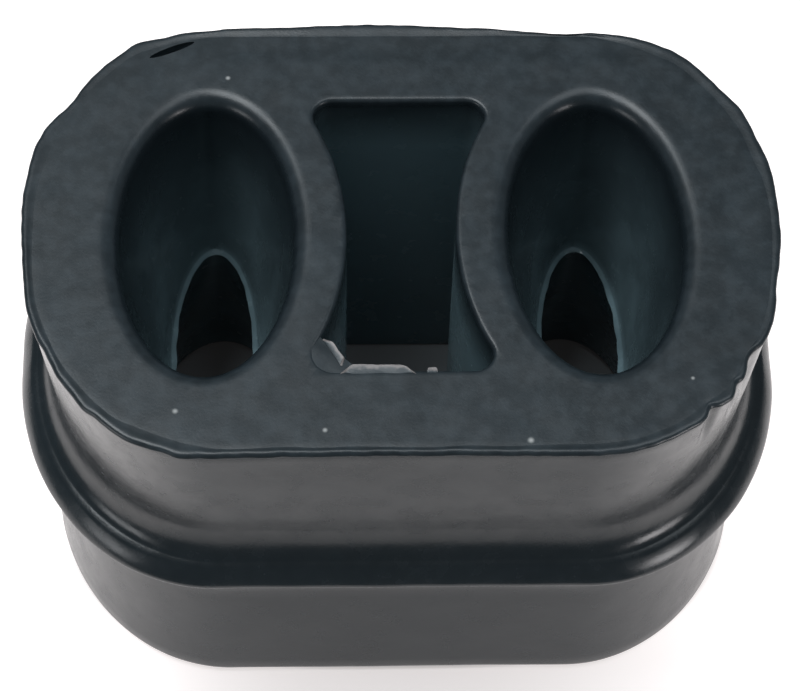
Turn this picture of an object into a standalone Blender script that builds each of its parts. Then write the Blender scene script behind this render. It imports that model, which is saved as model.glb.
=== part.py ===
"""Exhaust hanger: one moulded rubber block that two metal rods are pushed through.

The block stands on its lower face. X runs along its length, Y across it and Z up through its holes.
The origin is in the middle of the lower face. A bead runs round the middle at the mould's parting line,
and the upper and the lower half are alike. Each rod hole narrows from a flared mouth to a neck at mid
height, and widens again below. All sizes are in metres.
"""

import math

import bmesh
import bpy

# Outline of the two end faces
FACE_LENGTH = 0.0650
FACE_WIDTH = 0.0439
HEIGHT = 0.0420
CORNER_LENGTH = 0.0175  # how far each end's curve runs in along the block
END_FLAT = 0.0030  # straight stretch at the middle of each end

# Outer wall, from an end face down to the bead
END_DRAFT = 0.0013
SIDE_DRAFT = 0.0009
BEAD_END_PROUD = 0.0019  # past the end faces' outline
BEAD_SIDE_PROUD = 0.0017
BEAD_RISE = 0.0015  # from the crease beside the bead out to its edge
BEAD_CROWN = 0.0002  # swell of the bead's slopes past a straight line
BEAD_HEIGHT = 0.0038
FILLET_HEIGHT = 0.0041  # hollow between the wall and the bead
LOWER_EDGE_ROUND = 0.0012

# Walls left between the openings
END_WALL = 0.0066
SIDE_WALL = 0.0066
LAND = 0.0030  # rubber between a mouth and the window
WINDOW_WALL = 0.0084  # rubber in front of the window and behind it

# Rod holes and window
MOUTH_ROUND = 0.0016
NECK_WIDTH = 0.0080
NECK_END_TAPER = 0.0020  # narrowing at each end of the hole, from the flare to the neck
WINDOW_WAIST = 0.0094
WINDOW_CORNER = 0.0034  # how far a corner's rounding runs along each wall

# Fineness of the round surfaces
END_STEPS = 36  # along one end of the outline
SIDE_STEPS = 4  # along one straight side
HOLE_STEPS = 52
FLANK_STEPS = 12
ROUND_STEPS = 5
CORNER_STEPS = 5
CUT_MARGIN = 0.0010  # how far a cutter stands out of the rubber

# Colour of the cured rubber, linear
RUBBER_COLOUR = (0.021, 0.026, 0.030, 1.0)
RUBBER_ROUGHNESS = 0.48

MIDDLE = HEIGHT / 2
MOUTH_INNER_X = WINDOW_WAIST / 2 + LAND
MOUTH_OUTER_X = FACE_LENGTH / 2 - END_WALL
HOLE_X = (MOUTH_INNER_X + MOUTH_OUTER_X) / 2
MOUTH_HALF_WIDTH = (MOUTH_OUTER_X - MOUTH_INNER_X) / 2
MOUTH_HALF_LENGTH = FACE_WIDTH / 2 - SIDE_WALL
NECK_HALF_LENGTH = MOUTH_HALF_LENGTH - MOUTH_ROUND - NECK_END_TAPER
WINDOW_HALF_LENGTH = FACE_WIDTH / 2 - WINDOW_WALL


def clear_scene():
    """Removes whatever the file held before."""
    for thing in list(bpy.data.objects):
        bpy.data.objects.remove(thing, do_unlink=True)


def new_object(name, bm):
    """Turns a bmesh into an object with its faces pointing out."""
    bmesh.ops.recalc_face_normals(bm, faces=bm.faces)
    mesh = bpy.data.meshes.new(name)
    bm.to_mesh(mesh)
    bm.free()
    thing = bpy.data.objects.new(name, mesh)
    bpy.context.scene.collection.objects.link(thing)
    return thing


def loft(rings):
    """Closed bmesh through rings of (x, y, z) points, each with the same number of points."""
    bm = bmesh.new()
    loops = [[bm.verts.new(point) for point in ring] for ring in rings]
    count = len(loops[0])
    for lower, upper in zip(loops, loops[1:]):
        for here in range(count):
            after = (here + 1) % count
            bm.faces.new((lower[here], lower[after], upper[after], upper[here]))
    bm.faces.new(list(reversed(loops[0])))
    bm.faces.new(loops[-1])
    return bm


def outline(end_out, side_out):
    """Plan of the block, pushed out from the end faces' outline by the two offsets."""
    corner_x = CORNER_LENGTH + end_out
    corner_y = (FACE_WIDTH - END_FLAT) / 2 + side_out
    centre_x = FACE_LENGTH / 2 + end_out - corner_x
    centre_y = END_FLAT / 2
    points = []
    for side in (1, -1):
        for step in range(END_STEPS + 1):
            angle = -math.pi / 2 + math.pi * step / END_STEPS
            flat = centre_y if angle >= 0 else -centre_y
            x = centre_x + corner_x * math.cos(angle)
            y = flat + corner_y * math.sin(angle)
            points.append((side * x, side * y))
        for step in range(1, SIDE_STEPS):
            x = centre_x * (1 - 2 * step / SIDE_STEPS)
            points.append((side * x, side * (centre_y + corner_y)))
    return points


def quarter(steps):
    """Cosine and sine pairs of a quarter turn."""
    angles = [math.pi / 2 * step / steps for step in range(steps + 1)]
    return [(math.cos(angle), math.sin(angle)) for angle in angles]


def upper_wall():
    """Heights above the middle, with the end and side offsets there, from the bead's edge up to the face."""
    end_crease = BEAD_END_PROUD - BEAD_RISE
    side_crease = BEAD_SIDE_PROUD - BEAD_RISE
    levels = []
    for step in range(ROUND_STEPS + 1):
        share = step / ROUND_STEPS
        rise = BEAD_RISE * (1 - share) + 4 * BEAD_CROWN * share * (1 - share)
        levels.append((BEAD_HEIGHT / 2 * share, end_crease + rise, side_crease + rise))
    for along, up in quarter(ROUND_STEPS)[1:]:
        height = BEAD_HEIGHT / 2 + FILLET_HEIGHT * (1 - along)
        end_out = end_crease - (end_crease + END_DRAFT) * up
        side_out = side_crease - (side_crease + SIDE_DRAFT) * up
        levels.append((height, end_out, side_out))
    levels.append((MIDDLE, 0.0, 0.0))
    return levels


def lower_edge():
    """Heights above the floor, with the offsets of the lower face's rounded edge, from the face up."""
    levels = []
    for along, up in quarter(ROUND_STEPS):
        out = LOWER_EDGE_ROUND * (up - 1)
        levels.append((LOWER_EDGE_ROUND * (1 - along), out, out))
    return levels


def block_body():
    """The block before its holes are cut."""
    wall = upper_wall()
    levels = lower_edge()
    levels += [(MIDDLE - height, end, side) for height, end, side in reversed(wall[1:-1])]
    levels += [(MIDDLE + height, end, side) for height, end, side in wall]
    rings = [[(x, y, z) for x, y in outline(end, side)] for z, end, side in levels]
    return new_object("hanger_block", loft(rings))


def hole_level(above):
    """Half width and half length of a rod hole at a height above the middle."""
    flare_start = MIDDLE - MOUTH_ROUND
    throat_width = MOUTH_HALF_WIDTH - MOUTH_ROUND
    throat_length = MOUTH_HALF_LENGTH - MOUTH_ROUND
    if above <= flare_start:
        share = above / flare_start
        half_width = NECK_WIDTH / 2 + (throat_width - NECK_WIDTH / 2) * share
        half_length = NECK_HALF_LENGTH + (throat_length - NECK_HALF_LENGTH) * share
        return half_width, half_length
    rise = min(above - flare_start, MOUTH_ROUND)
    flare = MOUTH_ROUND - math.sqrt(MOUTH_ROUND ** 2 - rise ** 2)
    return throat_width + flare, throat_length + flare


def rod_hole_cutter(name, x):
    """Solid of a rod hole, from below the block to above it."""
    flare_start = MIDDLE - MOUTH_ROUND
    above = [flare_start * step / ROUND_STEPS for step in range(ROUND_STEPS)]
    above += [flare_start + MOUTH_ROUND * up for along, up in quarter(ROUND_STEPS)]
    above.append(MIDDLE + CUT_MARGIN)
    heights = [-height for height in reversed(above[1:])] + above
    rings = []
    for height in heights:
        half_width, half_length = hole_level(abs(height))
        ring = []
        for step in range(HOLE_STEPS):
            angle = 2 * math.pi * step / HOLE_STEPS
            ring.append((x + half_width * math.cos(angle), half_length * math.sin(angle), MIDDLE + height))
        rings.append(ring)
    return new_object(name, loft(rings))


def flank_x(y):
    """Half width of the window at a distance from its middle: the land beside the mouth is even."""
    share = y / (MOUTH_HALF_LENGTH + LAND)
    return HOLE_X - (MOUTH_HALF_WIDTH + LAND) * math.sqrt(1 - share ** 2)


def window_cutter():
    """Solid of the waisted window, with its four upright corners rounded."""
    last_point = WINDOW_HALF_LENGTH - WINDOW_CORNER
    flank = [(flank_x(WINDOW_HALF_LENGTH), -WINDOW_HALF_LENGTH)]
    for step in range(FLANK_STEPS + 1):
        y = last_point * (2 * step / FLANK_STEPS - 1)
        flank.append((flank_x(y), y))
    flank.append((flank_x(WINDOW_HALF_LENGTH), WINDOW_HALF_LENGTH))
    plan = flank + [(-x, -y) for x, y in flank]
    rings = [[(x, y, z) for x, y in plan] for z in (-CUT_MARGIN, HEIGHT + CUT_MARGIN)]
    bm = loft(rings)
    corners = []
    for edge in bm.edges:
        first, second = edge.verts
        upright = first.co.z != second.co.z
        if upright and abs(abs(first.co.y) - WINDOW_HALF_LENGTH) < CUT_MARGIN / 10:
            corners.append(edge)
    bmesh.ops.bevel(
        bm, geom=corners, offset=WINDOW_CORNER, segments=CORNER_STEPS, profile=0.5, affect="EDGES"
    )
    return new_object("window_cutter", bm)


def cut(body, cutter):
    """Takes a cutter's shape out of the body and keeps the cutter as a hidden guide."""
    cutter.display_type = "WIRE"
    cutter.hide_render = True
    boolean = body.modifiers.new(cutter.name, "BOOLEAN")
    boolean.operation = "DIFFERENCE"
    boolean.solver = "EXACT"
    boolean.object = cutter


def rubber():
    """Black cured rubber."""
    material = bpy.data.materials.new("black_rubber")
    material.use_nodes = True
    shader = material.node_tree.nodes["Principled BSDF"]
    shader.inputs["Base Color"].default_value = RUBBER_COLOUR
    shader.inputs["Roughness"].default_value = RUBBER_ROUGHNESS
    shader.inputs["Metallic"].default_value = 0.0
    return material


def main():
    clear_scene()
    block = block_body()
    block.data.materials.append(rubber())
    cut(block, rod_hole_cutter("left_hole_cutter", -HOLE_X))
    cut(block, rod_hole_cutter("right_hole_cutter", HOLE_X))
    cut(block, window_cutter())
    block.data.shade_smooth()
    block.data.set_sharp_from_angle(angle=math.radians(40))


main()
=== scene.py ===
"""Exhaust hanger: a black rubber block with two rod holes, finished and lit as a studio piece.

The block is moulded here again at full detail, with its trimmed lip, torn flash and rubber surface, in the
place of the plain solid that the frame brings. All sizes are in metres.
"""

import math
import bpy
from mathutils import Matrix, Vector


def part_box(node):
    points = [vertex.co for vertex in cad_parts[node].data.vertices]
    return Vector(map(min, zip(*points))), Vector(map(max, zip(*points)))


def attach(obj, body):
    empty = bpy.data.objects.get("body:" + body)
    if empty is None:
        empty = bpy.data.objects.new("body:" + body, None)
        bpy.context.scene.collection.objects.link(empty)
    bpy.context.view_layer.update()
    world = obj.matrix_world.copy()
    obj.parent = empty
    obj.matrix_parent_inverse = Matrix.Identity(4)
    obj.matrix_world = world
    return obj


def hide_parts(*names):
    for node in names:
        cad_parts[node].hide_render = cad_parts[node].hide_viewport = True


bl_info = {
    "name": "Exhaust Hanger",
    "version": (1, 0, 0),
    "blender": (4, 5, 0),
    "location": "View3D > Sidebar > Hanger",
    "description": "Models a moulded rubber exhaust hanger and its studio",
    "category": "Add Mesh",
}

import bmesh
import bpy
from bpy.props import FloatProperty, FloatVectorProperty, PointerProperty
from mathutils import Matrix, Vector, noise

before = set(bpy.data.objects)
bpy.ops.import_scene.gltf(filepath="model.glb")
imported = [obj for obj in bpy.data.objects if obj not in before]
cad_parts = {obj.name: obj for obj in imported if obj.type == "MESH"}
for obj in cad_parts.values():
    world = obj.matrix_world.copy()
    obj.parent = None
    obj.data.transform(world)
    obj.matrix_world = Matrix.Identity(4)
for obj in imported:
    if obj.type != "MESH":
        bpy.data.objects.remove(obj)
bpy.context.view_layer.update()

BLOCK_LOW, BLOCK_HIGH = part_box("hanger_block")
MM = 0.001
SAME_PLACE = 0.002 * MM


def length_property(name, description, default):
    """A size that a user may change, shown in the scene's length unit."""
    return FloatProperty(name=name, description=description, default=default, min=0.0, precision=5,
                         unit="LENGTH")


def colour_property(name, description, default):
    """A linear colour that a user may change."""
    return FloatVectorProperty(name=name, description=description, default=default, size=3, min=0, max=1,
                               subtype="COLOR")


class HangerSizes(bpy.types.PropertyGroup):
    """Sizes of the block, as its mould gives them."""

    height: length_property("Height", "Distance between the two end faces", BLOCK_HIGH.z - BLOCK_LOW.z)
    face_length: length_property("Face length", "Length of an end face", 0.0650)
    face_width: length_property("Face width", "Width of an end face", 0.0439)
    corner_length: length_property("Corner length", "How far an end's curve runs in along the block", 0.0175)
    end_flat: length_property("End flat", "Straight stretch in the middle of each end", 0.0030)
    end_draft: length_property("End draft", "How far an end leans in towards the bead", 0.0013)
    side_draft: length_property("Side draft", "How far a side leans in towards the bead", 0.0009)
    bead_rise: length_property("Bead rise", "From the crease beside the bead out to its edge", 0.0012)
    bead_crown: length_property("Bead crown", "Swell of the bead's slopes", 0.0002)
    bead_height: length_property("Bead height", "Height of the bead between its creases", 0.0038)
    fillet_height: length_property("Fillet height", "Height of the hollow between wall and bead", 0.0041)
    rim_round: length_property("Rim round", "Rounding of the upper face's edge under its lip", 0.0004)
    lip_height: length_property("Lip height", "How far the trimmed lip stands above the upper face", 0.00012)
    lip_overhang: length_property("Lip overhang", "How far the trimmed lip stands out over the wall", 0.00010)
    lower_round: length_property("Lower round", "Rounding of the lower face's edge", 0.0012)
    end_wall: length_property("End wall", "Rubber between a mouth and the end", 0.0066)
    side_wall: length_property("Side wall", "Rubber between a mouth and the side", 0.0066)
    land: length_property("Land", "Rubber between a mouth and the window", 0.0030)
    window_wall: length_property("Window wall", "Rubber in front of the window", 0.0081)
    window_waist: length_property("Window waist", "Width of the window at its waist", 0.0094)
    window_corner: length_property("Window corner", "Radius of a window corner", 0.00165)
    window_edge: length_property("Window edge", "Rounding of the window's rims", 0.0004)
    mouth_round: length_property("Mouth round", "Rounding of a rod hole's mouth", 0.0016)
    neck_width: length_property("Neck width", "Width of a rod hole at its neck", 0.0080)
    neck_end_taper: length_property("Neck end taper", "Narrowing of a hole's ends down to the neck", 0.0020)
    neck_flash: length_property("Neck flash", "Height of the ridge of flash round a neck", 0.00035)
    flash_thickness: length_property("Flash thickness", "Thickness of torn flash", 0.00018)


class HangerFinish(bpy.types.PropertyGroup):
    """Colours of the rubber and of the studio."""

    rubber: colour_property("Rubber", "Cured black rubber", (0.0095, 0.0138, 0.0168))
    bloom: colour_property("Bloom", "Grey film that rises to the rubber's surface", (0.0205, 0.0290, 0.0350))
    # The talc colour is partly painted light: it lightens the shaded insides of the holes and the window.
    talc_and_painted_light: colour_property("Talc", "Mould powder left inside the holes and the window", (0.128, 0.190, 0.212))
    # The torn colour is partly painted highlight where a sheet's lifted edge catches light.
    torn: colour_property("Torn rubber", "Pale stretched edge of torn flash", (0.175, 0.155, 0.150))
    dust: colour_property("Dust", "Pale crumbs of dust", (0.420, 0.420, 0.410))
    table: colour_property("Table", "Pale table under the block", (0.56, 0.53, 0.52))


def sizes():
    """The sizes that the panel shows."""
    return bpy.context.scene.hanger_sizes


def finish():
    """The colours that the panel shows."""
    return bpy.context.scene.hanger_finish


def to_object_mode():
    """Leaves edit mode with nothing selected, because an operator acts on all that is selected."""
    if bpy.context.mode != "OBJECT":
        bpy.ops.object.mode_set(mode="OBJECT")
    bpy.ops.object.select_all(action="DESELECT")


def choose(thing):
    """Selects one object alone and makes it the active one."""
    to_object_mode()
    thing.select_set(True)
    bpy.context.view_layer.objects.active = thing


def edit(thing, kind="VERT"):
    """Opens one object in edit mode."""
    choose(thing)
    bpy.ops.object.mode_set(mode="EDIT")
    bpy.ops.mesh.select_mode(type=kind)


def pick(thing, test, part="verts"):
    """Selects what passes the test in an object that is open in edit mode, and nothing else."""
    bm = bmesh.from_edit_mesh(thing.data)
    for group in (bm.verts, bm.edges, bm.faces):
        for item in group:
            item.select = False
    found = [item for item in getattr(bm, part) if test(item)]
    if not found:
        raise RuntimeError(f"{thing.name}: nothing to select")
    for item in found:
        item.select_set(True)
    bm.select_flush_mode()
    bmesh.update_edit_mesh(thing.data)


def resize(x, y, z=1.0):
    """Scales what is selected about the frame's origin."""
    bpy.ops.transform.resize(value=(x, y, z), center_override=(0, 0, 0))


def extrude(rise):
    """Extrudes what is selected straight up."""
    bpy.ops.mesh.extrude_region_move(TRANSFORM_OT_translate={"value": (0, 0, rise)})


def new_piece(name):
    """Names the primitive that has just been added and puts its place in its mesh."""
    thing = bpy.context.object
    thing.name = name
    thing.data.name = name
    bpy.ops.object.transform_apply(location=True, rotation=True, scale=True)
    return thing


def cut(body, cutter):
    """Takes the cutter's shape out of the body and removes the cutter."""
    choose(body)
    boolean = body.modifiers.new("cut", "BOOLEAN")
    boolean.operation = "DIFFERENCE"
    boolean.solver = "EXACT"
    boolean.object = cutter
    bpy.ops.object.modifier_apply(modifier=boolean.name)
    bpy.data.objects.remove(cutter, do_unlink=True)


def clean_up(thing):
    """Merges doubled points and turns every face outwards."""
    edit(thing)
    bpy.ops.mesh.select_all(action="SELECT")
    bpy.ops.mesh.remove_doubles(threshold=SAME_PLACE)
    bpy.ops.mesh.normals_make_consistent(inside=False)
    to_object_mode()


# Edges sharper than these angles, in degrees, stay sharp.
BLOCK_CREASE = 38
FLASH_CREASE = 60


def hand_over(piece, material, crease):
    """Gives a finished piece its material and smooth shading, and its place in the frame."""
    piece.data.materials.clear()
    piece.data.materials.append(material)
    choose(piece)
    bpy.ops.object.shade_smooth_by_angle(angle=math.radians(crease))
    to_object_mode()
    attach(piece, "root")


def steps(count, first=0):
    """Even shares from 0 to 1."""
    return [step / count for step in range(first, count + 1)]


def quarter(count, first=0):
    """Cosine and sine pairs of a quarter turn."""
    return [(math.cos(share * math.pi / 2), math.sin(share * math.pi / 2)) for share in steps(count, first)]


def ease(value, low, high):
    """0 below low, 1 above high, and a smooth rise between them."""
    share = min(1.0, max(0.0, (value - low) / (high - low)))
    return share * share * (3 - 2 * share)


def uneven(place, length, layer=0):
    """Smooth unevenness from -1 to 1 that changes over about the given length."""
    return noise.noise(place / length + Vector((7.3 * layer, 3.1 * layer, 5.7 * layer)))


def plan_place(x, y):
    """Distance outside the upper face's outline, share of the way out from the middle, and way outwards."""
    size = sizes()
    corner_x = size.corner_length
    corner_y = (size.face_width - size.end_flat) / 2
    across = max(abs(x) - (size.face_length / 2 - size.corner_length), 0) / corner_x
    along = max(abs(y) - size.end_flat / 2, 0) / corner_y
    share = math.hypot(across, along)
    if share == 0:
        return -corner_y, 0.0, Vector((0, 0, 0))
    slope = Vector((math.copysign(across / corner_x, x), math.copysign(along / corner_y, y), 0))
    return (share - 1) * share / slope.length, share, slope.normalized()


# Where the rim was left proud or trimmed too deep, in mm: plan place, reach, and how far out.
RIM_TRIM = (
    (-23.3, 20.3, 1.9, 0.55), (-25.9, 18.0, 2.0, 0.25), (-29.0, 13.8, 1.6, -0.25), (-31.9, 9.3, 3.0, 0.55),
    (-32.6, 3.6, 2.6, 0.20), (-16.7, 21.8, 2.0, -0.20), (-2.5, 22.0, 5.5, 0.35), (14.8, 21.9, 4.6, -0.80),
    (25.4, 18.6, 3.0, 0.45), (30.2, 12.8, 3.6, 0.42), (32.4, 6.4, 3.0, 0.32), (32.6, 0.8, 3.0, 0.15),
    (32.0, -5.2, 3.0, -0.30), (29.5, -12.9, 1.5, -0.65), (27.9, -15.3, 0.5, -0.30), (26.9, -16.4, 0.7, 0.30),
    (25.6, -17.8, 0.6, -0.50), (24.1, -18.9, 0.7, 0.15), (0.0, -22.0, 14.0, -0.15), (-18.6, -21.6, 1.3, 0.36),
    (-22.6, -19.8, 2.4, 0.36), (-26.6, -16.9, 1.0, 0.28), (-30.2, -11.8, 1.5, -0.12),
    (-32.3, -4.0, 3.0, -0.12),
)


def rim_out(x, y):
    """How far the rim stands out from its true outline here."""
    out = 0.0
    for trim_x, trim_y, reach, depth in RIM_TRIM:
        away = math.hypot(x / MM - trim_x, y / MM - trim_y) / reach
        if away < 3:
            out += depth * math.exp(-away * away)
    return out * MM


def add_outline(name, points, side_cuts, flat_cuts, height, end_out, side_out):
    """Ring of points on the block's plan, pushed out from an end face's outline by the two offsets."""
    size = sizes()
    centre_x = size.face_length / 2 - size.corner_length
    to_object_mode()
    bpy.ops.mesh.primitive_circle_add(vertices=points, radius=1, rotation=(0, 0, math.pi / points))
    ring = new_piece(name)
    edit(ring)
    bpy.ops.mesh.select_all(action="SELECT")
    resize(size.corner_length + end_out, (size.face_width - size.end_flat) / 2 + side_out)
    bpy.ops.transform.translate(value=(0, 0, height))
    for side in (1, -1):
        pick(ring, lambda point: point.co.x * side > 0)
        bpy.ops.transform.translate(value=(side * centre_x, 0, 0))
        pick(ring, lambda point: point.co.y * side > 0)
        bpy.ops.transform.translate(value=(0, side * size.end_flat / 2, 0))
    bpy.ops.mesh.select_mode(type="EDGE")
    pick(ring, lambda edge: edge.calc_length() > centre_x, "edges")
    bpy.ops.mesh.subdivide(number_cuts=side_cuts)
    pick(ring, lambda edge: edge.calc_length() > size.end_flat * 0.9, "edges")
    bpy.ops.mesh.subdivide(number_cuts=flat_cuts)
    bpy.ops.mesh.select_all(action="SELECT")
    return ring


def raise_outline(levels):
    """Extrudes the selected ring up through levels of height, end offset and side offset."""
    size = sizes()
    height, end_out, side_out = levels[0]
    for next_height, next_end, next_side in levels[1:]:
        extrude(next_height - height)
        longer = (size.face_length / 2 + next_end) / (size.face_length / 2 + end_out)
        wider = (size.face_width / 2 + next_side) / (size.face_width / 2 + side_out)
        resize(longer, wider)
        height, end_out, side_out = next_height, next_end, next_side


# Steps up the block's section: over half the bead, the hollow, the wall and a face's rounded edge.
BEAD_STEPS = 7
HOLLOW_STEPS = 9
WALL_STEPS = 12
EDGE_STEPS = 5


def wall_levels(edge_round, edge_in):
    """Heights above the middle, with the end and side offsets, from the bead's edge to a face's edge."""
    size = sizes()
    middle = size.height / 2
    bead_end = BLOCK_HIGH.x - size.face_length / 2
    bead_side = BLOCK_HIGH.y - size.face_width / 2
    end_crease = bead_end - size.bead_rise
    side_crease = bead_side - size.bead_rise
    levels = []
    for share in steps(BEAD_STEPS):
        rise = size.bead_rise * (1 - share) + 4 * size.bead_crown * share * (1 - share)
        levels.append((size.bead_height / 2 * share, end_crease + rise, side_crease + rise))
    for along, up in quarter(HOLLOW_STEPS, 1):
        height = size.bead_height / 2 + size.fillet_height * (1 - along)
        end_out = end_crease - (end_crease + size.end_draft) * up
        side_out = side_crease - (side_crease + size.side_draft) * up
        levels.append((height, end_out, side_out))
    foot = size.bead_height / 2 + size.fillet_height
    wall_top = middle - edge_round
    for share in steps(WALL_STEPS, 1):
        end_out = -size.end_draft + (size.end_draft - edge_in) * share
        side_out = -size.side_draft + (size.side_draft - edge_in) * share
        levels.append((foot + (wall_top - foot) * share, end_out, side_out))
    for along, up in quarter(EDGE_STEPS, 1):
        out = edge_round * (along - 1) - edge_in
        levels.append((wall_top + edge_round * up, out, out))
    return levels


OUTLINE_POINTS = 380
OUTLINE_CUTS = (80, 7)
FACE_RINGS = 24
FACE_CORE = 0.13
UPPER_RIM_IN = 0.05 * MM


def mould_body():
    """The block before its holes are cut: its plan raised level by level, with ringed end faces."""
    size = sizes()
    middle = size.height / 2
    upper = [(middle + up, end, side) for up, end, side in wall_levels(size.rim_round, UPPER_RIM_IN)]
    lower = [(middle - up, end, side) for up, end, side in reversed(wall_levels(size.lower_round, 0)[1:])]
    levels = lower + upper
    block = add_outline("moulded_block", OUTLINE_POINTS, *OUTLINE_CUTS, *levels[0])
    raise_outline(levels)
    for face_height in (BLOCK_HIGH.z, BLOCK_LOW.z):

        def on_rim(edge):
            return edge.is_boundary and abs(edge.verts[0].co.z - face_height) < 0.1 * MM

        bpy.ops.mesh.select_mode(type="EDGE")
        pick(block, on_rim, "edges")
        left = 1.0
        for share in steps(FACE_RINGS, 1):
            target = 1 - (1 - FACE_CORE) * share
            extrude(0)
            resize(target / left, target / left)
            left = target
        bpy.ops.mesh.edge_face_add()
    clean_up(block)
    return block


def hole_shape():
    """Centre, half width and half length of a rod hole's mouth."""
    size = sizes()
    inner = size.window_waist / 2 + size.land
    outer = size.face_length / 2 - size.end_wall
    return (inner + outer) / 2, (outer - inner) / 2, size.face_width / 2 - size.side_wall


HOLE_POINTS = 168
FUNNEL_STEPS = 20
MOUTH_STEPS = 8
CUT_MARGIN = 1.0 * MM
# Section of the flash round a neck: share of its height, and share of its reach.
NECK_SECTION = ((0, 1), (0.2, 0.9), (0.45, 0.2), (0.8, 0))


def hole_levels():
    """Heights above the middle, with the hole's half width and half length there."""
    size = sizes()
    middle = size.height / 2
    mouth_width, mouth_length = hole_shape()[1:]
    throat_width = mouth_width - size.mouth_round
    throat_length = mouth_length - size.mouth_round
    neck_width = size.neck_width / 2
    neck_length = throat_length - size.neck_end_taper
    flare = middle - size.mouth_round
    levels = []
    for up, narrowing in NECK_SECTION:
        in_by = size.neck_flash * narrowing
        levels.append((size.neck_flash * up, neck_width - in_by, neck_length - in_by))
    low = levels[-1][0]
    for share in steps(FUNNEL_STEPS, 1):
        width = neck_width + (throat_width - neck_width) * share
        length = neck_length + (throat_length - neck_length) * share
        levels.append((low + (flare - low) * share, width, length))
    for along, up in quarter(MOUTH_STEPS, 1):
        out = size.mouth_round * (1 - along)
        levels.append((flare + size.mouth_round * up, throat_width + out, throat_length + out))
    levels.append((middle + CUT_MARGIN, mouth_width, mouth_length))
    return levels


def cut_rod_holes(block):
    """Both rod holes: one cutter is modelled and copied."""
    size = sizes()
    above = hole_levels()
    levels = [(-height, wide, long) for height, wide, long in reversed(above[1:])] + above
    to_object_mode()
    bpy.ops.mesh.primitive_circle_add(vertices=HOLE_POINTS, radius=1, fill_type="NGON")
    cutter = new_piece("rod_hole")
    edit(cutter)
    bpy.ops.mesh.select_all(action="SELECT")
    height, wide, long = levels[0]
    resize(wide, long)
    bpy.ops.transform.translate(value=(0, 0, size.height / 2 + height))
    for next_height, next_wide, next_long in levels[1:]:
        extrude(next_height - height)
        resize(next_wide / wide, next_long / long)
        height, wide, long = next_height, next_wide, next_long
    clean_up(cutter)
    for side in (-1, 1):
        choose(cutter)
        bpy.ops.object.duplicate()
        bpy.ops.transform.translate(value=(side * hole_shape()[0], 0, 0))
        cut(block, new_piece("rod_hole_copy"))
    bpy.data.objects.remove(cutter, do_unlink=True)


# Steps along a quarter of the window's outline, up its wall and round its rim.
FLANK_STEPS = 26
CORNER_STEPS = 12
END_STEPS = 8
WINDOW_WALL_STEPS = 13
WINDOW_RIM_STEPS = 4
SEARCH_ROUNDS = 50


def window_quarter(out):
    """A quarter of the window's outline, pushed outwards: half a flank, a rounded corner and half an end."""
    size = sizes()
    place, wide, long = hole_shape()
    wide, long = wide + size.land - out, long + size.land - out
    end = size.face_width / 2 - size.window_wall + out
    radius = size.window_corner + out

    def flank(turn):
        """Point of the flank's curve, from the waist outwards."""
        return Vector((place - wide * math.cos(turn), long * math.sin(turn)))

    def nearest_turn(point):
        """Turn at which the flank comes nearest to a point."""
        low, high = 0.0, math.pi / 2
        for _ in range(SEARCH_ROUNDS):
            first, second = low + (high - low) / 3, high - (high - low) / 3
            if (flank(first) - point).length < (flank(second) - point).length:
                high = second
            else:
                low = first
        return low

    # The corner's centre is slid along the end until its circle touches the flank.
    low, high = 0.0, place - wide * math.sqrt(1 - ((end - radius) / long) ** 2)
    for _ in range(SEARCH_ROUNDS):
        centre = Vector(((low + high) / 2, end - radius))
        turn = nearest_turn(centre)
        if (flank(turn) - centre).length > radius:
            low = centre.x
        else:
            high = centre.x
    touch = flank(turn) - centre
    start = math.atan2(touch.y, touch.x)
    ring = [flank(turn * share) for share in steps(FLANK_STEPS)]
    for share in steps(CORNER_STEPS, 1):
        angle = start + (math.pi / 2 - start) * share
        ring.append(centre + radius * Vector((math.cos(angle), math.sin(angle))))
    ring += [Vector((centre.x * (1 - share), end)) for share in steps(END_STEPS, 1)]
    return ring


def window_ring(out):
    """The window's whole outline in order: its quarter, mirrored across both middles."""
    part = window_quarter(out)
    ring = list(part)
    ring += [Vector((-point.x, point.y)) for point in reversed(part[:-1])]
    ring += [Vector((-point.x, -point.y)) for point in part[1:]]
    ring += [Vector((point.x, -point.y)) for point in reversed(part[1:-1])]
    return ring


def window_levels():
    """Heights above the middle, with how far the window's rims are rounded outwards there."""
    size = sizes()
    middle = size.height / 2
    straight = middle - size.window_edge
    levels = [(straight * share, 0.0) for share in steps(WINDOW_WALL_STEPS)]
    for along, up in quarter(WINDOW_RIM_STEPS, 1):
        levels.append((straight + size.window_edge * up, size.window_edge * (1 - along)))
    levels.append((middle + CUT_MARGIN, size.window_edge))
    return levels


def cut_window(block):
    """The waisted window: its flanks follow the mouths, and its ends are straight."""
    size = sizes()
    above = window_levels()
    levels = [(-height, out) for height, out in reversed(above[1:])] + above
    height, out = levels[0]
    ring = window_ring(out)
    to_object_mode()
    bpy.ops.mesh.primitive_circle_add(vertices=len(ring), radius=1, fill_type="NGON")
    cutter = new_piece("window")
    for point, place in zip(cutter.data.vertices, ring):
        point.co.xy = place
    edit(cutter)
    bpy.ops.mesh.select_all(action="SELECT")
    bpy.ops.transform.translate(value=(0, 0, size.height / 2 + height))
    for next_height, next_out in levels[1:]:
        extrude(next_height - height)
        if next_out != out:
            next_ring = window_ring(next_out)
            bm = bmesh.from_edit_mesh(cutter.data)
            for point in (item for item in bm.verts if item.select):
                index = min(range(len(ring)), key=lambda item: (ring[item] - point.co.xy).length_squared)
                point.co.xy = next_ring[index]
            bmesh.update_edit_mesh(cutter.data)
            ring = next_ring
        height, out = next_height, next_out
    clean_up(cutter)
    cut(block, cutter)


# A slit torn behind the lip: plan place in mm, half length, half width, half depth and turn in degrees.
SLIT_PLACE = (-20.10, 19.55)
SLIT_SIZE = (2.2, 0.33, 0.80)
SLIT_TURN = 24.5


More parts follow.
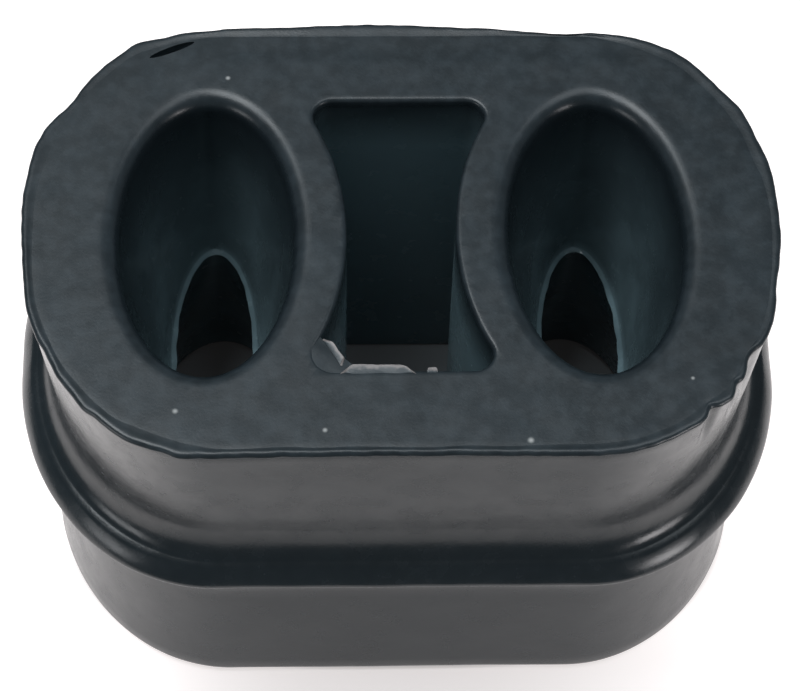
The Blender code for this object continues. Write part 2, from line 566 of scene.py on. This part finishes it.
def cut_slit(body):
    """The slit at the back left, between the upper face and its lip."""
    to_object_mode()
    place = (SLIT_PLACE[0] * MM, SLIT_PLACE[1] * MM, BLOCK_HIGH.z - 0.1 * MM)
    bpy.ops.mesh.primitive_uv_sphere_add(segments=32, ring_count=16, radius=1, location=place,
                                         rotation=(0, 0, math.radians(SLIT_TURN)),
                                         scale=[half * MM for half in SLIT_SIZE])
    cut(body, new_piece("slit"))


# The faint step on the upper face lies at this share of the way out to its outline.
STEP_SHARE = 0.845


def face_relief(place):
    """Unevenness of the upper face, with the faint step that follows its back edge."""
    share = plan_place(place.x, place.y)[1]
    relief = 0.030 * uneven(place, 9 * MM, 1) + 0.016 * uneven(place, 3.2 * MM, 2)
    behind = ease(place.y, 8 * MM, 14 * MM) * ease(22 * MM - abs(place.x - 2 * MM), 0, 6 * MM)
    relief -= 0.055 * behind * ease(share, STEP_SHARE - 0.012, STEP_SHARE + 0.012)
    ridge = ease(8 * MM - abs(place.x - 15 * MM), 0, 6 * MM) * behind
    relief += 0.05 * ridge * math.exp(-((share - STEP_SHARE + 0.006) / 0.012) ** 2)
    return relief * MM


def weather(block):
    """Small shifts of every point: moulding unevenness, the trimmed rim and the torn neck flash."""
    size = sizes()
    middle = size.height / 2
    lip = size.lip_height
    hole_x, mouth_width, mouth_length = hole_shape()
    for point in block.data.vertices:
        place = point.co.copy()
        share, outwards = plan_place(place.x, place.y)[1:]
        above = place.z - middle
        # The walls wander a little, and the bead's edge only inwards.
        outer = ease(share, 0.80, 0.93)
        on_bead = 1 - ease(abs(above), 1.2 * MM, 2.6 * MM)
        wave = 0.055 * uneven(place, 11 * MM, 3) + 0.022 * uneven(place, 3.5 * MM, 4)
        bead = -0.05 + 0.05 * uneven(place, 4 * MM, 5)
        shift = outwards * (wave * (1 - on_bead) + min(bead, 0) * on_bead) * MM * outer
        # The rim is cut back where it was trimmed too deep, and the upper face sinks below the lip.
        trimmed = min(rim_out(place.x, place.y), 0) * ease(above, middle - 8 * MM, middle - 1.5 * MM)
        shift += outwards * trimmed * ease(share, 0.86, 0.98)
        shift.z -= (lip - face_relief(place)) * ease(above, middle - 3 * MM, middle - 1 * MM)
        # The lower face is hollow in places, and the flash round the necks is torn.
        shift.z += 0.03 * MM * max(uneven(place, 8 * MM, 6), 0) * ease(-above, middle - 1 * MM, middle)
        from_hole = Vector(((abs(place.x) - hole_x) / mouth_width, place.y / mouth_length, 0))
        if abs(above) < size.neck_flash and from_hole.length < 1:
            torn = 0.5 + 0.5 * uneven(place, 1.6 * MM, 7)
            towards_x = -math.copysign(from_hole.x, place.x * from_hole.x)
            inwards = Vector((towards_x, -from_hole.y, 0)).normalized()
            shift += inwards * 0.30 * MM * torn * (1 - ease(abs(above), 0, size.neck_flash * 0.7))
        point.co = place + shift


class HANGER_OT_block(bpy.types.Operator):
    """Moulds the rubber block with its rod holes, window, bead and neck flash"""

    bl_idname = "hanger.block"
    bl_label = "Mould the block"

    def execute(self, context):
        block = mould_body()
        cut_rod_holes(block)
        cut_window(block)
        cut_slit(block)
        clean_up(block)
        weather(block)
        hand_over(block, rubber_material(), BLOCK_CREASE)
        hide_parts("hanger_block")
        return {"FINISHED"}


# The lip's section in mm: how far outside the outline, and how far below the block's top.
LIP_SECTION = (
    (-0.90, -0.90), (-1.45, -0.60), (-1.40, -0.150), (-1.15, -0.128), (-0.98, -0.118), (-0.84, -0.104),
    (-0.72, -0.086), (-0.61, -0.064), (-0.51, -0.044), (-0.42, -0.034), (-0.33, -0.040), (-0.25, -0.062),
    (-0.18, -0.100), (-0.12, -0.150), (-0.07, -0.215), (-0.03, -0.295), (-0.007, -0.380), (0.00, -0.460),
    (-0.02, -0.540), (-0.08, -0.620), (-0.20, -0.680), (-0.40, -0.700),
)
LIP_POINTS = 760
LIP_CUTS = (150, 14)


def add_rim_lip():
    """The trimmed lip round the upper face: a ring whose edge wanders in and out."""
    size = sizes()
    top = BLOCK_HIGH.z
    out = size.lip_overhang
    levels = [(top + down * MM, across * MM + out, across * MM + out) for across, down in LIP_SECTION]
    lip = add_outline("rim_lip", LIP_POINTS, *LIP_CUTS, *levels[0])
    raise_outline(levels)
    bpy.ops.mesh.select_mode(type="EDGE")
    pick(lip, lambda edge: edge.is_boundary, "edges")
    bpy.ops.mesh.bridge_edge_loops()
    clean_up(lip)
    for point in lip.data.vertices:
        place = point.co.copy()
        outside, _, outwards = plan_place(place.x, place.y)
        edge = Vector((place.x, place.y, 0))
        free = ease(outside, -0.95 * MM, -0.10 * MM)
        ragged = 0.09 * uneven(edge, 3.0 * MM, 8) + 0.07 * uneven(edge, 1.1 * MM, 9)
        point.co += outwards * (rim_out(place.x, place.y) + ragged * MM) * free
        crest = ease(outside, -1.1 * MM, -0.5 * MM)
        lift = 0.5 + 0.5 * uneven(edge, 5 * MM, 10)
        point.co.z += face_relief(place) * (1 - crest) - 0.04 * MM * lift * crest
        point.co.z = min(point.co.z, top)
    return lip


# Torn sheets at the window's front rim, in mm: first and last plan place of the rooted side, reach, lift at
# the free edge, height of the rooted side below the block's top, and raggedness.
SHEETS = (
    ("front_sheet", (-5.4, -14.20), (1.4, -14.40), 0.95, 0.14, 0.22, 0.06),
    ("front_tab", (1.8, -14.30), (2.9, -14.35), 0.70, 0.05, 0.22, 0.12),
    ("left_tab", (-5.3, -13.4), (-6.8, -10.8), 0.60, 0.14, 0.18, 0.10),
)
# The sheet that fills the window's near left corner, as dark as the block.
CORNER_SHEET = ("corner_sheet", (-4.9, -16.30), (-10.3, -10.9), 2.55, -0.04, 0.24, 0.03)


def add_sheet(name, first, last, reach, lift, below, ragged):
    """A thin torn sheet that grows from a rim, with a free edge that is nowhere straight."""
    size = sizes()
    first = Vector((*first, 0)) * MM
    last = Vector((*last, 0)) * MM
    along = last - first
    across = Vector((-along.y, along.x, 0)).normalized()
    if across.y < 0:
        across = -across
    to_object_mode()
    bpy.ops.mesh.primitive_grid_add(x_subdivisions=44, y_subdivisions=10, size=1)
    sheet = new_piece(name)
    for point in sheet.data.vertices:
        share, free = point.co.x + 0.5, point.co.y + 0.5
        ends = ease(share, -0.03, 0.18) * ease(1 - share, -0.03, 0.26)
        torn = 1 + ragged * (uneven(Vector((share * along.length, 0, 0)), 1.3 * MM, 11) * 1.6
                             + uneven(Vector((share * along.length, 0, 0)), 0.45 * MM, 12))
        place = first + along * share + across * reach * MM * free * ends * torn
        wave = 0.07 * uneven(place, 1.5 * MM, 13) * free
        place.z = BLOCK_HIGH.z - below * MM + (lift * free * free + wave - 0.10 * (1 - ends)) * MM
        point.co = place
    choose(sheet)
    thicken = sheet.modifiers.new("thickness", "SOLIDIFY")
    thicken.thickness = size.flash_thickness
    thicken.offset = 0
    bpy.ops.object.modifier_apply(modifier=thicken.name)
    clean_up(sheet)
    for point in sheet.data.vertices:
        point.co.z = min(point.co.z, BLOCK_HIGH.z)
    return sheet


class HANGER_OT_flash(bpy.types.Operator):
    """Adds the trimmed lip round the upper face and the torn sheets at the window"""

    bl_idname = "hanger.flash"
    bl_label = "Add the flash"

    def execute(self, context):
        rubber = bpy.data.materials["moulded_rubber"]
        lip = add_rim_lip()
        cut_slit(lip)
        hand_over(lip, rubber, FLASH_CREASE)
        hand_over(add_sheet(*CORNER_SHEET), rubber, FLASH_CREASE)
        torn = torn_highlight_material()
        for sheet in SHEETS:
            hand_over(add_sheet(*sheet), torn, FLASH_CREASE)
        return {"FINISHED"}


def new_material(name):
    """A material with its node tree and its main shader."""
    material = bpy.data.materials.new(name)
    material.use_nodes = True
    return material, material.node_tree, material.node_tree.nodes["Principled BSDF"]


def add_node(tree, kind, links=None, inputs=None, **settings):
    """A shader node with its settings, the sockets linked into it, and its other inputs."""
    node = tree.nodes.new(kind)
    for name, value in settings.items():
        setattr(node, name, value)
    for name, value in (inputs or {}).items():
        node.inputs[name].default_value = value
    for name, socket in (links or {}).items():
        tree.links.new(socket, node.inputs[name])
    return node


def between(tree, value, start, end, **settings):
    """0 where the value is at its start and 1 where it has reached its end."""
    spread = add_node(tree, "ShaderNodeMapRange", {"Value": value}, {"From Min": start, "From Max": end},
                      **settings)
    return spread.outputs["Result"]


def mottle(tree, place, length, detail, low, high):
    """Noise whose spots are about the given length, spread so that it runs from 0 to 1."""
    spots = add_node(tree, "ShaderNodeTexNoise", {"Vector": place},
                     {"Scale": 1 / length, "Detail": detail, "Roughness": 0.6})
    return between(tree, spots.outputs["Fac"], low, high, interpolation_type="SMOOTHSTEP")


def maths(tree, operation, first, second):
    """Sum, product or the like of two values, each a socket or a number."""
    node = tree.nodes.new("ShaderNodeMath")
    node.operation = operation
    for socket, value in zip(node.inputs, (first, second)):
        if isinstance(value, (int, float)):
            socket.default_value = value
        else:
            tree.links.new(value, socket)
    return node.outputs[0]


def blend(tree, share, first, second):
    """Colour between two colours, each a socket or three numbers."""
    node = tree.nodes.new("ShaderNodeMix")
    node.data_type = "RGBA"
    tree.links.new(share, node.inputs["Factor"])
    for name, value in (("A", first), ("B", second)):
        socket = next(item for item in node.inputs if item.name == name and item.type == "RGBA")
        if isinstance(value, bpy.types.NodeSocket):
            tree.links.new(value, socket)
        else:
            socket.default_value = (*value, 1)
    return next(item for item in node.outputs if item.type == "RGBA")


# The rubber's roughness where it is bare, and what the upper face and the smears add to it.
BARE_ROUGHNESS = 0.20
TOP_ROUGHNESS = 0.10
SMEAR_ROUGHNESS = 0.09
RUBBER_GLOSS = 0.42

# Crumbs of pale dust on the upper face: plan place and size in mm.
DUST = (
    (-19.05, -17.67, 0.36), (-6.66, -19.58, 0.32), (10.30, -20.67, 0.40), (24.08, -14.85, 0.26),
    (-15.09, 16.36, 0.32), (9.70, 2.64, 0.26), (-27.6, -3.1, 0.14), (20.1, -18.3, 0.14), (3.9, -17.2, 0.12),
)


def plan_share(tree, place):
    """0 in the middle of the block's plan and 1 about its outline."""
    size = sizes()
    shrunk = add_node(tree, "ShaderNodeVectorMath", {0: place},
                      {1: (2 / size.face_length, 2 / size.face_width, 0)}, operation="MULTIPLY")
    split = add_node(tree, "ShaderNodeSeparateXYZ", {"Vector": shrunk.outputs["Vector"]})
    wide = maths(tree, "POWER", maths(tree, "ABSOLUTE", split.outputs["X"], 0), 3.0)
    deep = maths(tree, "POWER", maths(tree, "ABSOLUTE", split.outputs["Y"], 0), 3.0)
    return maths(tree, "ADD", wide, deep)


def rubber_material():
    """Black rubber: mottled bloom, powder and painted light in the openings, crumbs of dust, dull smears and
    fine grain.
    """
    material, tree, shader = new_material("moulded_rubber")
    place = tree.nodes.new("ShaderNodeTexCoord").outputs["Object"]
    split = add_node(tree, "ShaderNodeSeparateXYZ", {"Vector": place})
    height = split.outputs["Z"]
    top = BLOCK_HIGH.z
    on_top = between(tree, height, top - 1.2 * MM, top - 0.3 * MM)

    clouds = mottle(tree, place, 7 * MM, 3.0, 0.36, 0.68)
    spots = mottle(tree, place, 1.3 * MM, 4.0, 0.38, 0.70)
    film = maths(tree, "ADD", maths(tree, "MULTIPLY", clouds, 0.4), maths(tree, "MULTIPLY", spots, 0.5))
    colour = blend(tree, maths(tree, "MULTIPLY", film, maths(tree, "MAXIMUM", on_top, 0.25)),
                   finish().rubber, finish().bloom)

    # Powder and painted light lie in clouds that thicken with depth in the rod holes, and start sooner in the
    # window.
    patchy = maths(tree, "ADD", maths(tree, "MULTIPLY", clouds, 0.35), 0.60)
    powder_and_light_in_holes = maths(tree, "MULTIPLY", between(tree, height, top - 2 * MM, top - 22 * MM), patchy)
    near_middle = between(tree, maths(tree, "ABSOLUTE", split.outputs["X"], 0), 9.0 * MM, 7.0 * MM)
    powder_and_light_in_window = maths(tree, "MULTIPLY", near_middle, between(tree, height, top - 1 * MM, top - 7 * MM))
    inside = between(tree, plan_share(tree, place), 0.75, 0.60)
    powder_and_painted_light = maths(tree, "MULTIPLY", inside, maths(tree, "MAXIMUM", powder_and_light_in_holes, powder_and_light_in_window))
    colour = blend(tree, powder_and_painted_light, colour, finish().talc_and_painted_light)

    dusty = None
    for x, y, size in DUST:
        from_crumb = add_node(tree, "ShaderNodeVectorMath", {0: place}, {1: (x * MM, y * MM, top)},
                              operation="DISTANCE").outputs["Value"]
        crumb = between(tree, from_crumb, size * MM, 0.0, interpolation_type="SMOOTHSTEP")
        dusty = maths(tree, "MAXIMUM", dusty, crumb) if dusty else crumb
    colour = blend(tree, dusty, colour, finish().dust)
    tree.links.new(colour, shader.inputs["Base Color"])

    smears = mottle(tree, place, 2.6 * MM, 3.0, 0.30, 0.72)
    dull = maths(tree, "MULTIPLY", on_top, TOP_ROUGHNESS)
    dull = maths(tree, "ADD", dull, maths(tree, "MULTIPLY", smears, SMEAR_ROUGHNESS))
    tree.links.new(maths(tree, "ADD", dull, BARE_ROUGHNESS), shader.inputs["Roughness"])
    shader.inputs["Specular IOR Level"].default_value = RUBBER_GLOSS

    swell = mottle(tree, place, 2.2 * MM, 1.0, 0.1, 0.9)
    grain = mottle(tree, place, 0.22 * MM, 3.0, 0.2, 0.8)
    swelled = add_node(tree, "ShaderNodeBump", {"Height": swell}, {"Strength": 0.5, "Distance": 0.020 * MM})
    grained = add_node(tree, "ShaderNodeBump", {"Height": grain, "Normal": swelled.outputs["Normal"]},
                       {"Strength": 0.7, "Distance": 0.006 * MM})
    tree.links.new(grained.outputs["Normal"], shader.inputs["Normal"])
    return material


def torn_highlight_material():
    """Torn flash: pale towards its lifted free edge, partly pale torn rubber and partly painted highlight,
    dark where it is still whole.
    """
    material, tree, shader = new_material("torn_rubber")
    coordinates = tree.nodes.new("ShaderNodeTexCoord")
    place = coordinates.outputs["Object"]
    free = add_node(tree, "ShaderNodeSeparateXYZ", {"Vector": coordinates.outputs["UV"]}).outputs["Y"]
    patchy = maths(tree, "MULTIPLY", mottle(tree, place, 0.9 * MM, 2.0, 0.30, 0.70), 0.30)
    stretched_and_lit = between(tree, maths(tree, "ADD", free, patchy), 0.60, 1.05, interpolation_type="SMOOTHSTEP")
    # Painted highlight, with pale torn rubber, towards the lifted free edge.
    tree.links.new(blend(tree, stretched_and_lit, finish().bloom, finish().torn), shader.inputs["Base Color"])
    frayed = mottle(tree, place, 0.25 * MM, 2.0, 0.2, 0.8)
    bump = add_node(tree, "ShaderNodeBump", {"Height": frayed}, {"Strength": 0.5, "Distance": 0.010 * MM})
    tree.links.new(bump.outputs["Normal"], shader.inputs["Normal"])
    shader.inputs["Roughness"].default_value = 0.40
    return material


class HANGER_OT_stage(bpy.types.Operator):
    """Sets the pale table, the studio light and the camera"""

    bl_idname = "hanger.stage"
    bl_label = "Set the stage"

    def execute(self, context):
        add_table()
        add_lights()
        add_world()
        add_camera()
        context.scene.view_settings.view_transform = "Standard"
        return {"FINISHED"}


TABLE_SIZE = (0.220, 0.165)
TABLE_FRONT = -0.055
PAINTED_SHADE_UNDER_BLOCK = (0.10, 0.12, 0.13)
# The table's glow in the painted shadow pool and beyond it, and the share of glow and colour left under the
# block, where shade is painted.
SHADOW_POOL_GLOW = 0.40
TABLE_GLOW = 0.95
GLOW_LEFT_IN_PAINTED_SHADE = 0.006
SHADOW_POOL_CENTRE = (0, -54 * MM, 0)
SHADOW_POOL_REACH = (46 * MM, 42 * MM)


def add_table():
    """A pale table top that glows, with painted shade where the block stands on it: its colour and glow are
    dark there.

    It ends a little way in front of the view, so that the hollow above the bead mirrors the dim room. It
    glows less in a painted shadow pool in front of the block than beside it, so that the front wall is
    darkest midway.
    """
    middle = (0, TABLE_FRONT + TABLE_SIZE[1] / 2, BLOCK_LOW.z - 0.02 * MM)
    to_object_mode()
    bpy.ops.mesh.primitive_plane_add(size=1.0, location=middle)
    bpy.context.object.scale = (*TABLE_SIZE, 1)
    table = new_piece("table_top")
    material, tree, shader = new_material("pale_table")
    shader.inputs["Roughness"].default_value = 0.9
    shader.inputs["Emission Color"].default_value = (1, 0.94, 0.93, 1)
    place = tree.nodes.new("ShaderNodeTexCoord").outputs["Object"]
    # Painted shade: the table's colour and glow fall to a small share under the block.
    clear = add_node(tree, "ShaderNodeMapRange", {"Value": plan_share(tree, place)},
                     {"From Min": 0.80, "From Max": 1.0, "To Min": GLOW_LEFT_IN_PAINTED_SHADE}).outputs["Result"]
    tree.links.new(blend(tree, clear, PAINTED_SHADE_UNDER_BLOCK, finish().table), shader.inputs["Base Color"])
    # Painted shadow: a pool of weaker glow in front of the block.
    from_shadow_pool = add_node(tree, "ShaderNodeVectorMath", {0: place}, {1: SHADOW_POOL_CENTRE},
                         operation="SUBTRACT").outputs["Vector"]
    from_shadow_pool = add_node(tree, "ShaderNodeVectorMath", {0: from_shadow_pool},
                         {1: (1 / SHADOW_POOL_REACH[0], 1 / SHADOW_POOL_REACH[1], 0)},
                         operation="MULTIPLY").outputs["Vector"]
    from_shadow_pool = add_node(tree, "ShaderNodeVectorMath", {0: from_shadow_pool}, operation="LENGTH").outputs["Value"]
    glow = add_node(tree, "ShaderNodeMapRange", {"Value": from_shadow_pool},
                    {"From Min": 0.5, "From Max": 1.2, "To Min": SHADOW_POOL_GLOW, "To Max": TABLE_GLOW},
                    interpolation_type="SMOOTHSTEP").outputs["Result"]
    tree.links.new(maths(tree, "MULTIPLY", glow, clear), shader.inputs["Emission Strength"])
    table.data.materials.append(material)


def add_soft_box(name, way, distance, size, radiance, tint):
    """An area light at a turn and height in degrees round the block, facing it."""
    turn, height = (math.radians(angle) for angle in way)
    way = Vector((math.cos(turn) * math.cos(height), math.sin(turn) * math.cos(height), math.sin(height)))
    place = way * distance
    to_object_mode()
    bpy.ops.object.light_add(type="AREA", location=place, rotation=way.to_track_quat("Z", "Y").to_euler())
    lamp = bpy.context.object
    lamp.name = name
    lamp.data.shape = "RECTANGLE"
    lamp.data.size, lamp.data.size_y = size
    lamp.data.energy = radiance * 4 * size[0] * size[1]
    lamp.data.color = tint


def add_lights():
    """A bright soft box overhead, weaker ones behind and at the right, and a low one at each side."""
    add_soft_box("overhead_box", (162, 71), 0.90, (0.50, 0.50), 6.0, (0.92, 0.97, 1.0))
    add_soft_box("back_box", (120, 57), 1.00, (0.72, 0.55), 0.36, (0.82, 0.94, 1.0))
    add_soft_box("high_right_box", (5, 70), 0.90, (0.50, 0.50), 2.0, (0.88, 0.95, 1.0))
    add_soft_box("left_box", (212, 8), 1.00, (0.40, 0.35), 3.0, (0.97, 0.98, 1.0))
    add_soft_box("right_box", (-42, 4), 1.00, (0.34, 0.30), 7.5, (1.0, 0.97, 0.98))


def add_world():
    """Dim surroundings in front of a pale backdrop."""
    world = bpy.data.worlds.new("studio")
    bpy.context.scene.world = world
    world.use_nodes = True
    tree = world.node_tree
    shown = tree.nodes["Background"]
    shown.inputs["Color"].default_value = (1.0, 1.0, 1.0, 1)
    dim = add_node(tree, "ShaderNodeBackground", None, {"Color": (0.82, 0.94, 1.0, 1), "Strength": 0.19})
    ray = tree.nodes.new("ShaderNodeLightPath")
    mix = add_node(tree, "ShaderNodeMixShader",
                   {0: ray.outputs["Is Camera Ray"], 1: dim.outputs[0], 2: shown.outputs[0]})
    tree.links.new(mix.outputs[0], tree.nodes["World Output"].inputs["Surface"])


VIEW_AZIMUTH = math.radians(-2.51)
VIEW_ELEVATION = math.radians(59.0)
VIEW_DISTANCE = 0.2689
VIEW_ROLL = math.radians(1.77)
VIEW_CENTRE = Vector((-0.0002, 0.0001, 0.0210))
LENS = 131.4
SHIFT = (0.0060, 0.0123)


def add_camera():
    """A long lens that looks down on the front of the block."""
    to_object_mode()
    back = Vector((
        math.sin(VIEW_AZIMUTH) * math.cos(VIEW_ELEVATION),
        -math.cos(VIEW_AZIMUTH) * math.cos(VIEW_ELEVATION),
        math.sin(VIEW_ELEVATION),
    ))
    bpy.ops.object.camera_add()
    camera = bpy.context.object
    camera.name = "studio_camera"
    turn = back.to_track_quat("Z", "Y").to_matrix().to_4x4() @ Matrix.Rotation(VIEW_ROLL, 4, "Z")
    camera.matrix_world = Matrix.Translation(VIEW_CENTRE + back * VIEW_DISTANCE) @ turn
    camera.data.sensor_width = 36
    camera.data.lens = LENS
    camera.data.shift_x, camera.data.shift_y = SHIFT
    camera.data.clip_start = 0.01
    bpy.context.scene.camera = camera


class HANGER_PT_panel(bpy.types.Panel):
    """Lists the pieces in the sidebar"""

    bl_idname = "HANGER_PT_panel"
    bl_label = "Exhaust Hanger"
    bl_space_type = "VIEW_3D"
    bl_region_type = "UI"
    bl_category = "Hanger"

    def draw(self, context):
        for piece in PIECES:
            self.layout.operator(piece.bl_idname)
        for group in (context.scene.hanger_sizes, context.scene.hanger_finish):
            column = self.layout.column()
            for name in group.__annotations__:
                column.prop(group, name)


PIECES = (HANGER_OT_block, HANGER_OT_flash, HANGER_OT_stage)
CLASSES = (HangerSizes, HangerFinish, *PIECES, HANGER_PT_panel)


def register():
    for kind in CLASSES:
        bpy.utils.register_class(kind)
    bpy.types.Scene.hanger_sizes = PointerProperty(type=HangerSizes)
    bpy.types.Scene.hanger_finish = PointerProperty(type=HangerFinish)


def unregister():
    del bpy.types.Scene.hanger_finish
    del bpy.types.Scene.hanger_sizes
    for kind in reversed(CLASSES):
        bpy.utils.unregister_class(kind)


def main():
    """Makes the pieces and the stage."""
    register()
    bpy.ops.hanger.block()
    bpy.ops.hanger.flash()
    bpy.ops.hanger.stage()


if __name__ == "__main__":
    main()
